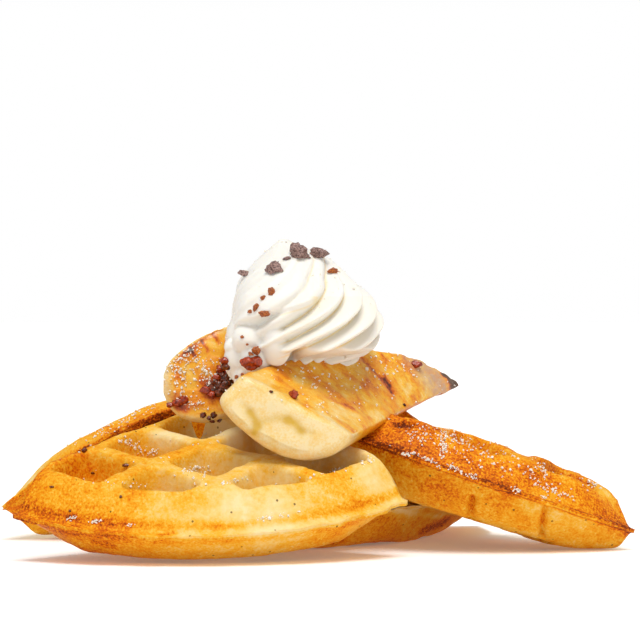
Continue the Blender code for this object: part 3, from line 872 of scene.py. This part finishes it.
# Olive seams of the front banana's end face, its swelling lobes, and the charred streaks of its flat face:
# each is (line of picture pixels, half width in mm, depth in mm, strength)
END_STROKES = [
    ([(250, 412), (255, 419), (257, 427), (254, 433)], 1.4, 0.12, 0.85),
    ([(257, 426), (265, 421), (276, 418), (288, 420)], 1.3, 0.08, 0.36),
    ([(288, 420), (296, 424), (301, 431)], 1.5, 0.12, 0.80),
    ([(242, 404), (250, 412)], 1.0, 0.2, 0.16),
    ([(301, 431), (312, 434)], 0.9, 0.2, 0.16),
]
END_SWELLS = [
    ([(234, 415), (238, 432), (247, 445)], 3.4, -0.45, 1.0),
    ([(262, 440), (280, 446), (298, 444)], 3.4, -0.45, 1.0),
    ([(264, 404), (282, 406)], 3.0, -0.35, 0.8),
    ([(312, 424), (318, 436)], 3.0, -0.35, 0.8),
]
FLAT_STROKES = [
    ([(362, 358), (376, 372), (392, 392)], 1.2, 0.3, 0.30),
    ([(336, 368), (346, 374)], 1.6, 0.1, 0.20),
    ([(352, 376), (364, 386)], 1.8, 0.1, 0.20),
    ([(328, 398), (352, 408)], 1.6, 0.1, 0.24),
    ([(308, 376), (322, 386)], 1.5, 0.1, 0.15),
    ([(385, 379), (390, 385)], 1.0, 0.2, 0.35),
    ([(372, 352), (392, 362)], 1.8, 0.1, 0.18),
    ([(268, 388), (300, 404), (326, 420)], 1.6, 0.0, 0.14),
    ([(400, 362), (428, 372)], 2.0, 0.1, 0.12),
]


# Caramelised streaks of the back banana's flat face, as for the front one
BACK_FLAT_STROKES = [
    ([(182, 354), (198, 342), (222, 328)], 1.0, 0.2, 0.34),
    ([(188, 346), (195, 356)], 0.6, 0.3, 0.36),
    ([(200, 338), (208, 350)], 0.6, 0.3, 0.36),
    ([(212, 332), (219, 343)], 0.6, 0.3, 0.36),
    ([(214, 392), (226, 380), (238, 366)], 4.6, 0.4, 0.50),
    ([(170, 398), (184, 408)], 1.6, 0.2, 0.20),
    ([(196, 372), (206, 384)], 1.8, 0.1, 0.20),
    ([(176, 372), (186, 384)], 1.4, 0.1, 0.12),
]


def half_round(first, second, bulge, swell_first):
    """Closed ring of a half disc, its two edges rounded over."""
    middle = (first + second) / 2
    half = (second - first) / 2
    along = np.linspace(0.0, 1.0, RING_FLAT, endpoint=False)[:, None]
    crown = -0.05 * bulge * (4.0 * along * (1.0 - along))
    flat = first + (second - first) * along + crown
    angle = np.linspace(0.0, pi, RING_ROUND, endpoint=False)[:, None]
    near_second = angle < pi / 2
    swell = 1.0 + np.where(near_second, 0.04, swell_first) * np.sin(2 * angle) ** 2
    power = np.where(near_second, 1.1, 0.75)
    rounded = middle + half * swell * np.cos(angle) + bulge * np.sin(angle) ** power
    ring = np.vstack([flat, rounded])
    for _ in range(RING_SMOOTHING):
        ring = (np.roll(ring, 1, axis=0) + 2.0 * ring + np.roll(ring, -1, axis=0)) / 4.0
    return ring


def front_ring(row):
    y, x0, z0, x1, z1, depth = row
    back, front = np.array((x0, y, z0)), np.array((x1, y, z1))
    along = (front - back) / np.linalg.norm(front - back)
    down = np.array((-abs(along[2]), 0.0, -abs(along[0])))
    return half_round(back, front, down * depth, 0.36)


def back_ring(row):
    x, y0, z0, y1, z1, depth = row
    low, high = np.array((x, y0, z0)), np.array((x, y1, z1))
    along = (high - low) / np.linalg.norm(high - low)
    away = np.array((0.0, along[2], -along[1]))
    return half_round(low, high, away * depth, 0.04)


def inset_ring(ring, amount, offset):
    """A ring drawn in toward its middle by an amount and moved by an offset."""
    middle = ring.mean(axis=0)
    arm = ring - middle
    length = np.linalg.norm(arm, axis=1, keepdims=True)
    return middle + arm * np.clip(1.0 - amount / length, 0.0, 1.0) + offset


def end_rings(ring, axis):
    """Rings that round a banana's cut edge over and close its end face, from the middle outward."""
    rings = []
    middle = ring.mean(axis=0)
    widest = np.linalg.norm(ring - middle, axis=1).max()
    arm = inset_ring(ring, END_ROUND, 0.0) - middle
    for amount in np.linspace(widest * 0.97, END_ROUND, END_STEPS):
        rings.append(middle + arm * (1.0 - amount / widest) / (1.0 - END_ROUND / widest) + axis * END_ROUND)
    for angle in np.linspace(pi / 2, 0.0, 12)[1:-1]:
        rings.append(inset_ring(ring, END_ROUND * (1.0 - cos(angle)), axis * END_ROUND * sin(angle)))
    return rings


def banana_front_piece(material):
    rows = refine(BANANA_FRONT, 4)
    rows = rows[rows[:, 0] >= BANANA_FRONT[0][0] + END_ROUND]
    rings = [front_ring(row) for row in rows]
    rings = end_rings(rings[0], np.array((0.0, -1.0, 0.0))) + rings
    points, faces = closed_loft(rings)
    count = RING_FLAT + RING_ROUND
    number = np.arange(len(points))
    across = number % count / RING_FLAT
    is_end = np.minimum(number // count, len(rings) - 1) < END_STEPS
    is_flat = (across < 1.0) & ~is_end
    y = points[:, 1]
    edge = np.clip(1.0 - np.minimum(across, 1.0 - across) * 9.0, 0.0, 1.0) * is_flat
    fibre_at = np.stack([points[:, 0] * 0.35 + y, across * 13.0, points[:, 2] * 0.1], axis=-1)
    fibre = noise(fibre_at, 1.3, 700) + 0.6 * noise(fibre_at, 0.7, 705)
    golden = smooth_step((y - 2.5 + 3.0 * noise(points, 5.0, 701)) / 5.0)
    under = smooth_step((y - 6.0) / 12.0)
    toast = np.where(is_flat, 0.08 + 0.31 * golden, 0.09 + 0.42 * under)
    toast = toast + is_flat * golden * (0.12 * fibre + 0.20 * noise(points, 6.0, 710)) - 0.02 * edge
    toast = toast + 0.70 * smooth_step((y - TIP_FROM + 2.0 * noise(points, 3.0, 702)) / 3.0)
    relief = is_flat * golden * (0.20 * fibre + 0.45 * noise(points, 7.0, 720))
    relief = relief + (0.15 + 0.5 * smooth_step((y - SKIN_FROM - 2.0) / 8.0)) * noise(points, 3.0, 730)
    toast = np.where(is_end, 0.06 + 0.05 * noise(points, 5.0, 740), toast)
    skin = smooth_step((y - SKIN_FROM) / 9.0) * (1.0 - 0.8 * smooth_step((y - TIP_FROM + 2.0) / 3.0))
    skin = skin * (0.75 + 0.3 * fibre)
    way = np.where(is_end[:, None], np.array((0.0, -0.5, 0.0)), np.array((0.2, -0.3, 0.8)))
    points = points + relief[:, None] * way
    seed, dent = marks(points, faces, END_STROKES)
    swirl, rise = marks(points, faces, END_SWELLS)
    char, scar = marks(points, faces, FLAT_STROKES)
    points = points + dent * is_end[:, None] + rise * is_end[:, None] + scar
    return make_object("front_banana", points, faces, material, {
        "toast": toast + char - 0.05 * swirl * is_end,
        "seed": np.clip(seed, 0.0, 0.85) * (y < SEED_REACH),
        "skin": np.clip(skin, 0.0, 1.0) * ~is_end,
    })


def banana_back_piece(material):
    rows = refine(BANANA_BACK, 4)
    rings = [back_ring(row) for row in rows]
    points, faces = closed_loft(rings)
    across = np.arange(len(points)) % (RING_FLAT + RING_ROUND) / RING_FLAT
    is_flat = across < 1.0
    fibre_at = np.stack([points[:, 0] * 0.3, points[:, 1] * 0.2, points[:, 2]], axis=-1)
    fibre = noise(fibre_at, 1.5, 755)
    inland = smooth_step(np.minimum(across, 1.0 - across) * 9.0) * is_flat
    inland = inland * smooth_step((points[:, 0] + 51.0) / 4.0)
    toast = 0.14 + inland * (0.28 + 0.10 * fibre + 0.20 * noise(points, 6.0, 760))
    relief = is_flat * (0.5 * noise(points, 6.0, 770) + 0.18 * fibre) + 0.2 * noise(points, 2.5, 780)
    points = points + relief[:, None] * np.array((0.0, -0.95, 0.3))
    char, scar = marks(points, faces, BACK_FLAT_STROKES)
    return make_object("back_banana", points + scar, faces, material, {
        "toast": toast + char,
        "seed": np.zeros(len(points)),
        "skin": np.clip(0.3 * (1.0 - inland) * is_flat, 0.0, 0.3),
    })


# Cream

def cream_turn(z):
    foot, peak = CREAM_RINGS[0][0], CREAM_RINGS[-1][0]
    return CREAM_TURN * np.clip((z - foot) / (peak - foot), 0.0, 1.0) ** CREAM_TURN_POWER


def cream_fold(angle, z):
    """1 on a fold's crest and 0 in the sharp groove beside it, with folds of uneven width."""
    along = angle - cream_turn(z)
    return np.abs(np.cos(CREAM_FOLDS / 2 * along + 0.5 * np.sin(2.0 * along + 1.0)))


def cream_strength(angle, z):
    """How deep the folds are: deep at the lower right of the front, and smooth at its upper left."""
    toward = np.cos(angle + radians(35.0))
    return 0.10 + 0.90 * smooth_step((0.62 * toward - (z - 76.0) / 34.0 + 0.30) / 0.7)


def cream_coil(angle, z):
    """The upper coil's smooth swelling at the left of the front, over a ledge that climbs to the right."""
    degrees = (np.degrees(angle) + 360.0) % 360.0
    ledge = COIL_FOOT + (degrees - COIL_FROM) * COIL_CLIMB
    window = smooth_step((degrees - COIL_FROM + 10.0) / 34.0) * smooth_step((COIL_TO - degrees) / 26.0)
    return window * smooth_step((z - ledge) / 1.8 + 0.5) * (1.0 - smooth_step((z - ledge - 7.0) / 12.0))


def cream_foot(angle, z):
    """1 where the foot draws in under its overhanging edge, at the front."""
    return smooth_step((0.35 - np.sin(angle)) / 0.9) * smooth_step((FOOT_TOP - z) / 3.2)


def cream_piece(material):
    rows = refine(CREAM_RINGS, 4)
    angle = np.linspace(0.0, 2 * pi, 360, endpoint=False)
    rings = []
    for z, cx, radius in rows:
        fold = cream_fold(angle, z)
        depth = CREAM_FOLD_DEPTH * cream_strength(angle, z) * smooth_step((z - FOLDS_FROM) / 5.0)
        depth = depth * (1.0 - 0.6 * smooth_step((z - FOLDS_FADE) / 9.0))
        ripple = 0.010 * np.cos(CREAM_FOLDS * 2.0 * (angle - cream_turn(z)) + 1.0)
        reach = radius * (1.01 - depth * (1.0 - fold) + ripple * fold + COIL_SWELL * cream_coil(angle, z))
        reach = reach * (1.0 - CREAM_SLIM * bell(z - SLIM_AT, 9.0) * np.clip(-np.cos(angle), 0.0, 1.0) ** 4)
        reach = reach * (1.0 - FOOT_IN * cream_foot(angle, z))
        scallop = SCALLOP * (fold - 0.6) * (1.0 - smooth_step((z - SCALLOP_FROM) / 7.0))
        ring = np.stack([cx + reach * np.cos(angle), CREAM_Y + reach * np.sin(angle), z - scallop], axis=-1)
        rings.append(ring + 0.35 * noise(ring, 9.0, 815)[:, None])
    parts = [closed_loft(rings)]
    ball_points, ball_faces = ico_ball(5)
    for centre, radii in CREAM_LOBES:
        swollen = ball_points * np.array(radii) * (1.0 + 0.12 * noise(ball_points * 8.0, 6.0, 810)[:, None])
        parts.append((swollen + np.array(centre), ball_faces))
    points, faces = merge(parts)
    obj = make_object("cream_swirl", points, faces, material)
    remesh = obj.modifiers.new("remesh", "REMESH")
    remesh.mode = "VOXEL"
    remesh.voxel_size = CREAM_VOXEL * MM
    graph = bpy.context.evaluated_depsgraph_get()
    mesh = bpy.data.meshes.new_from_object(obj.evaluated_get(graph))
    obj.modifiers.clear()
    obj.data = mesh
    mesh.materials.clear()
    mesh.materials.append(material)
    co = np.empty(len(mesh.vertices) * 3, np.float32)
    mesh.vertices.foreach_get("co", co)
    at = co.reshape(-1, 3) / MM - SHIFT
    table = np.array(CREAM_RINGS)
    cx = np.interp(at[:, 2], table[:, 0], table[:, 1])
    angle = np.arctan2(at[:, 1] - CREAM_Y, at[:, 0] - cx)
    fold = cream_fold(angle, at[:, 2])
    # Painted shade in the grooves between the folds and along the foot of the upper coil's ledge, left out at
    # the far left
    painted_groove_shade = 0.8 * bell(fold, 0.17) * smooth_step((at[:, 2] - 60.0) / 4.0) * cream_strength(angle, at[:, 2])
    ledge = cream_coil(angle, at[:, 2] + 0.9)
    painted_groove_shade = painted_groove_shade * (1.0 - 0.8 * ledge) + 0.5 * bell(ledge - 0.30, 0.22) * (at[:, 2] < 84.0)
    painted_groove_shade = painted_groove_shade * smooth_step((at[:, 0] + 15.0) / 5.0)
    set_attribute(mesh, "painted_groove_shade", painted_groove_shade)
    mesh.polygons.foreach_set("use_smooth", [True] * len(mesh.polygons))
    return obj


# Toppings

BALL = ico_ball(3)
# How many pixels lower a chip may sit where the outline passes under it, and how far its middle stands out
MOST_DROP = 11
STAND_OUT = 0.325


def chip(centre, radii, seed, cuts=9, rough=0.12):
    """An angular chip: a ball cut flat by random planes, with a rough surface."""
    rng = np.random.default_rng(seed)
    points = BALL[0].copy()
    for _ in range(cuts):
        normal = rng.normal(size=3)
        normal /= np.linalg.norm(normal)
        limit = rng.uniform(0.45, 0.8)
        beyond = np.clip(points @ normal - limit, 0.0, None)
        points -= beyond[:, None] * normal
    points *= 1.0 + rough * noise(BALL[0] * 10.0, 3.0, seed)[:, None]
    return points * np.array(radii) * 1.25 + np.array(centre), BALL[1]


# Chips of each kind, at the picture pixel of the middle: (x, y, half width, half height in mm)
COCOA_NIBS = [
    (298, 254, 3.3, 2.4), (317, 256, 2.9, 2.2), (276, 269, 2.8, 2.2), (246, 275, 2.4, 1.1),
    (287, 259, 1.2, 0.6), (307, 256, 0.9, 0.6),
]
CREAM_BITS = [
    (332, 272, 1.7, 0.9), (272, 293, 1.0, 1.5), (263, 298, 0.8, 0.8), (256, 308, 1.0, 1.2),
    (250, 312, 0.8, 0.6), (264, 313, 1.6, 0.8), (242, 337, 0.6, 0.5), (247, 344, 0.4, 0.4),
    (257, 351, 1.3, 1.2), (251, 354, 0.8, 0.6), (237, 377, 0.6, 0.6), (243, 375, 0.6, 0.5),
]
RED_LUMPS = [
    (249, 362, 2.0, 1.5), (256, 361, 1.6, 1.5), (252, 366, 1.6, 1.1), (292, 396, 1.5, 1.4),
    (416, 365, 1.5, 1.3), (171, 405, 1.3, 0.7), (178, 402, 1.5, 1.1), (184, 400, 1.3, 1.0),
    (205, 391, 1.5, 1.1), (211, 395, 1.3, 1.0), (226, 361, 1.5, 1.0), (219, 369, 1.3, 1.0),
    (226, 372, 1.2, 1.1), (216, 378, 1.2, 0.9),
]
DARK_LUMPS = [
    (217, 384, 1.5, 1.2), (224, 387, 1.9, 1.8), (220, 393, 1.6, 1.4), (224, 379, 1.7, 1.4),
    (221, 374, 1.4, 1.2), (227, 367, 1.4, 1.1), (203, 415, 0.9, 0.8), (209, 418, 0.8, 0.6),
    (214, 415, 0.9, 0.9), (219, 420, 0.8, 0.6), (212, 421, 0.7, 0.5), (271, 392, 0.6, 0.4),
    (404, 405, 0.5, 0.5), (101, 412, 1.3, 0.9), (97, 414, 0.7, 0.6), (84, 451, 0.8, 0.7),
]
DARK_SPECKS = [
    (127, 465, 1.1, 0.6), (93, 473, 0.5, 0.3), (52, 487, 0.6, 0.3), (121, 497, 0.4, 0.4),
    (70, 511, 0.4, 0.3),
]


class Seen:
    """The surfaces of the placed pieces, for finding what shows at a pixel or lies along a ray."""

    def __init__(self, objects):
        graph = bpy.context.evaluated_depsgraph_get()
        self.trees = [BVHTree.FromObject(obj, graph) for obj in objects]

    def cast(self, start, way):
        start = Vector((np.asarray(start) + SHIFT) * MM)
        hits = [tree.ray_cast(start, Vector(way)) for tree in self.trees]
        hits = [hit for hit in hits if hit[0] is not None]
        if not hits:
            return None
        point, normal, _, _ = min(hits, key=lambda hit: hit[3])
        return np.array(point) / MM - SHIFT, np.array(normal)

    def at_pixel(self, px, py):
        return self.cast(*picture_ray(px, py))


def pinned(seen, table, seed, cuts, rough):
    """Chips that sit on what shows at their pixels, with seeds that count up from a first one."""
    parts = []
    for number, (px, py, wide, tall) in enumerate(table):
        hits = [seen.at_pixel(px, py + drop) for drop in range(0, MOST_DROP, 2)]
        hits = [hit for hit in hits if hit]
        if not hits:
            continue
        at, normal = hits[0]
        deep = (wide + tall) / 2
        middle = at + normal * deep * STAND_OUT
        parts.append(chip(middle, (wide, deep * 0.8, tall), seed + number, cuts, rough))
    return merge(parts)


def toppings(seen):
    nib = bit_material("cocoa_nib", baked(70, 42, 38), baked(196, 156, 144), 0.55, 0.5)
    tan = bit_material("toasted_bit", baked(120, 40, 6), baked(214, 120, 30), 0.5, 0.5)
    red = bit_material("red_glazed_bit", baked(110, 18, 4), baked(206, 76, 24), 0.18, 0.8)
    dark = bit_material("dark_glazed_bit", baked(40, 12, 6), baked(150, 66, 24), 0.2, 0.8)
    dress(make_object("cocoa_nibs", *pinned(seen, COCOA_NIBS, 901, 12, 0.30), nib, smooth=False), "cream")
    dress(make_object("toasted_bits", *pinned(seen, CREAM_BITS, 911, 8, 0.25), tan, smooth=False), "cream")
    dress(make_object("red_bits", *pinned(seen, RED_LUMPS, 931, 3, 0.22), red), "cream")
    lumps = pinned(seen, DARK_LUMPS, 951, 4, 0.28)
    specks = pinned(seen, DARK_SPECKS, 972, 4, 0.28)
    dress(make_object("dark_bits", *merge([lumps, specks]), dark), "banana")


SUGAR_GRAIN = 0.22
# Sugar that fell from above, beyond what the picture shows: (low x, high x, low y, high y, grains)
SUGAR_FROM_ABOVE = [
    (-60.0, 100.0, 60.0, 160.0, 500),
    (-90.0, 20.0, 0.0, 120.0, 260),
    (-50.0, 45.0, 20.0, 75.0, 160),
]
# Sugar on what shows in a patch of the picture: (x, y, half width, half height, lean in degrees, grains)
SUGAR_PATCHES = [
    (130, 412, 42, 5, 24, 60), (124, 420, 36, 7, 28, 50), (95, 437, 16, 6, 38, 16),
    (190, 470, 14, 4, 8, 44), (203, 474, 8, 6, 50, 20), (153, 452, 6, 4, 0, 26),
    (134, 446, 12, 5, -30, 34), (122, 441, 6, 3, 0, 14), (232, 482, 22, 2, 8, 20),
    (128, 483, 40, 3, -3, 16), (72, 518, 4, 2, 0, 14), (97, 521, 6, 2, 8, 18), (130, 526, 4, 2, 0, 8),
    (272, 517, 22, 3, 8, 22), (330, 472, 34, 3, 12, 20), (368, 462, 8, 3, 30, 14),
    (408, 454, 6, 2, -8, 22), (430, 461, 12, 2, -24, 36), (456, 469, 10, 3, -26, 34),
    (472, 476, 6, 2, -24, 18), (518, 491, 6, 2, -20, 14), (543, 498, 3, 2, 0, 12),
    (442, 444, 5, 14, 0, 60), (420, 435, 16, 10, 20, 44), (455, 437, 20, 12, -30, 70),
    (480, 452, 40, 16, -24, 70), (530, 466, 34, 14, -24, 46), (544, 472, 3, 10, 10, 22),
    (552, 490, 24, 8, -24, 50), (592, 484, 14, 6, -24, 24), (190, 362, 18, 22, 30, 90),
    (178, 382, 12, 22, 12, 70), (205, 375, 12, 18, 20, 80), (226, 372, 12, 14, 20, 50),
    (196, 402, 20, 10, 0, 40), (300, 376, 34, 12, -12, 26), (330, 388, 50, 18, -18, 46),
    (372, 376, 32, 16, -18, 34), (400, 368, 26, 9, -18, 22), (318, 402, 22, 8, -20, 18),
]


def grains(places, rng, size):
    """Irregular eight-sided grains, one or a small clump at each place."""
    corners = np.array([(1, 0, 0), (-1, 0, 0), (0, 1, 0), (0, -1, 0), (0, 0, 1), (0, 0, -1)], float)
    sides = np.array([
        (0, 2, 4), (2, 1, 4), (1, 3, 4), (3, 0, 4),
        (2, 0, 5), (1, 2, 5), (3, 1, 5), (0, 3, 5),
    ])
    points, faces = [], []
    for at, normal in places:
        clump = rng.choice((1, 1, 2, 3, 4))
        for _ in range(clump):
            radius = size * rng.lognormal(0.0, 0.42)
            middle = at + normal * radius * 0.4 + rng.normal(size=3) * size * 0.7 * (clump > 1)
            spin = np.linalg.qr(rng.normal(size=(3, 3)))[0]
            shape = corners * rng.uniform(0.6, 1.3, (6, 1)) * radius
            faces.append(sides + 6 * len(points))
            points.append(middle + shape @ spin)
    return outward_grains(np.vstack(points), np.vstack(faces))


def outward_grains(points, faces):
    """Turns each grain's faces outward."""
    middle = points.reshape(-1, 6, 3).mean(axis=1)[faces[:, 0] // 6]
    a, b, c = points[faces[:, 0]], points[faces[:, 1]], points[faces[:, 2]]
    inside_out = np.einsum("ij,ij->i", np.cross(b - a, c - a), (a + b + c) / 3 - middle) < 0.0
    faces[inside_out] = faces[inside_out][:, ::-1]
    return points, faces


def sugar(seen):
    rng = np.random.default_rng(4)
    places = []
    for px, py, wide, tall, lean, count in SUGAR_PATCHES:
        turn = radians(lean)
        for _ in range(count):
            u, v = rng.normal(size=2) * 0.5
            x, y = u * wide, v * tall
            hit = seen.at_pixel(px + x * cos(turn) + y * sin(turn), py - x * sin(turn) + y * cos(turn))
            if hit:
                places.append(hit)
    for x0, x1, y0, y1, count in SUGAR_FROM_ABOVE:
        for _ in range(count):
            hit = seen.cast((rng.uniform(x0, x1), rng.uniform(y0, y1), 130.0), (0.0, 0.0, -1.0))
            if hit:
                places.append(hit)
    powder = new_material("powdered_sugar", 0.9, 0.2, 0.2, (1.0, 0.95, 0.9), 0.3)
    tones = [(0.3, (0.80, 0.74, 0.62)), (0.7, (0.90, 0.87, 0.80))]
    finish_colour(powder, ramp(powder, noise_node(powder, 2.0), tones))
    dress(make_object("sugar_grains", *grains(places, rng, SUGAR_GRAIN), powder, smooth=False), "waffle")


# Stage

def add_camera():
    data = bpy.data.cameras.new("camera")
    data.sensor_width = SENSOR
    data.lens = FOCAL_PIXELS * SENSOR / IMAGE_SIZE
    camera = new_object("camera", data)
    camera.location = (np.array(CAMERA_TARGET) + SHIFT + CAMERA_BACK * CAMERA_DISTANCE) * MM
    camera.rotation_euler = Vector(-CAMERA_BACK).to_track_quat("-Z", "Y").to_euler()
    data.clip_start = 0.05
    data.clip_end = 20.0
    bpy.context.scene.camera = camera


def add_sun(name, direction, strength, spread):
    data = bpy.data.lights.new(name, "SUN")
    data.energy = strength
    data.angle = radians(spread)
    new_object(name, data).rotation_euler = Vector(direction).to_track_quat("-Z", "Y").to_euler()


def add_world():
    """Studio light that is white round the horizon and softer overhead."""
    world = bpy.data.worlds.new("studio")
    world.use_nodes = True
    tree = world.node_tree
    background = tree.nodes["Background"]
    background.inputs["Color"].default_value = (1.0, 1.0, 1.0, 1.0)
    place_node = tree.nodes.new("ShaderNodeTexCoord")
    split = tree.nodes.new("ShaderNodeSeparateXYZ")
    fade = tree.nodes.new("ShaderNodeMapRange")
    for socket, value in (("From Min", 0.08), ("From Max", 0.34), ("To Min", 1.0), ("To Max", OVERHEAD)):
        fade.inputs[socket].default_value = value
    tree.links.new(place_node.outputs["Generated"], split.inputs[0])
    tree.links.new(split.outputs["Z"], fade.inputs["Value"])
    tree.links.new(fade.outputs[0], background.inputs["Strength"])
    bpy.context.scene.world = world


def add_stage():
    material = new_material("pale_floor", 0.9, 0.1)
    clouds = noise_node(material, 400.0)
    finish_colour(material, ramp(material, clouds, [(0.0, (0.94,) * 3), (1.0, (0.95,) * 3)]))
    set_shader(material, Emission_Color=(*FLOOR_WARMTH, 1.0), Emission_Strength=FLOOR_GLOW)
    mesh = bpy.data.meshes.new("floor")
    reach = 4.0
    corners = [(-reach, -reach, 0.0), (reach, -reach, 0.0), (reach, reach, 0.0), (-reach, reach, 0.0)]
    mesh.from_pydata(corners, [], [(0, 1, 2, 3)])
    mesh.materials.append(material)
    new_object("floor", mesh)
    add_world()
    add_sun("key", KEY_DIRECTION, KEY_STRENGTH, KEY_SPREAD)
    bpy.context.scene.view_settings.view_transform = "Standard"


def main():
    batter = waffle_material()
    pieces = [dress(waffle(spec["piece"], spec, PLACES[name], batter), "waffle", name)
              for name, spec in WEDGES.items()]
    flesh = banana_material()
    pieces.append(dress(banana_front_piece(flesh), "banana", "banana_front"))
    pieces.append(dress(banana_back_piece(flesh), "banana", "banana_back"))
    pieces.append(dress(cream_piece(cream_material()), "cream", "whipped_cream"))
    bpy.context.view_layer.update()
    seen = Seen(pieces)
    toppings(seen)
    sugar(seen)
    add_stage()
    add_camera()


main()
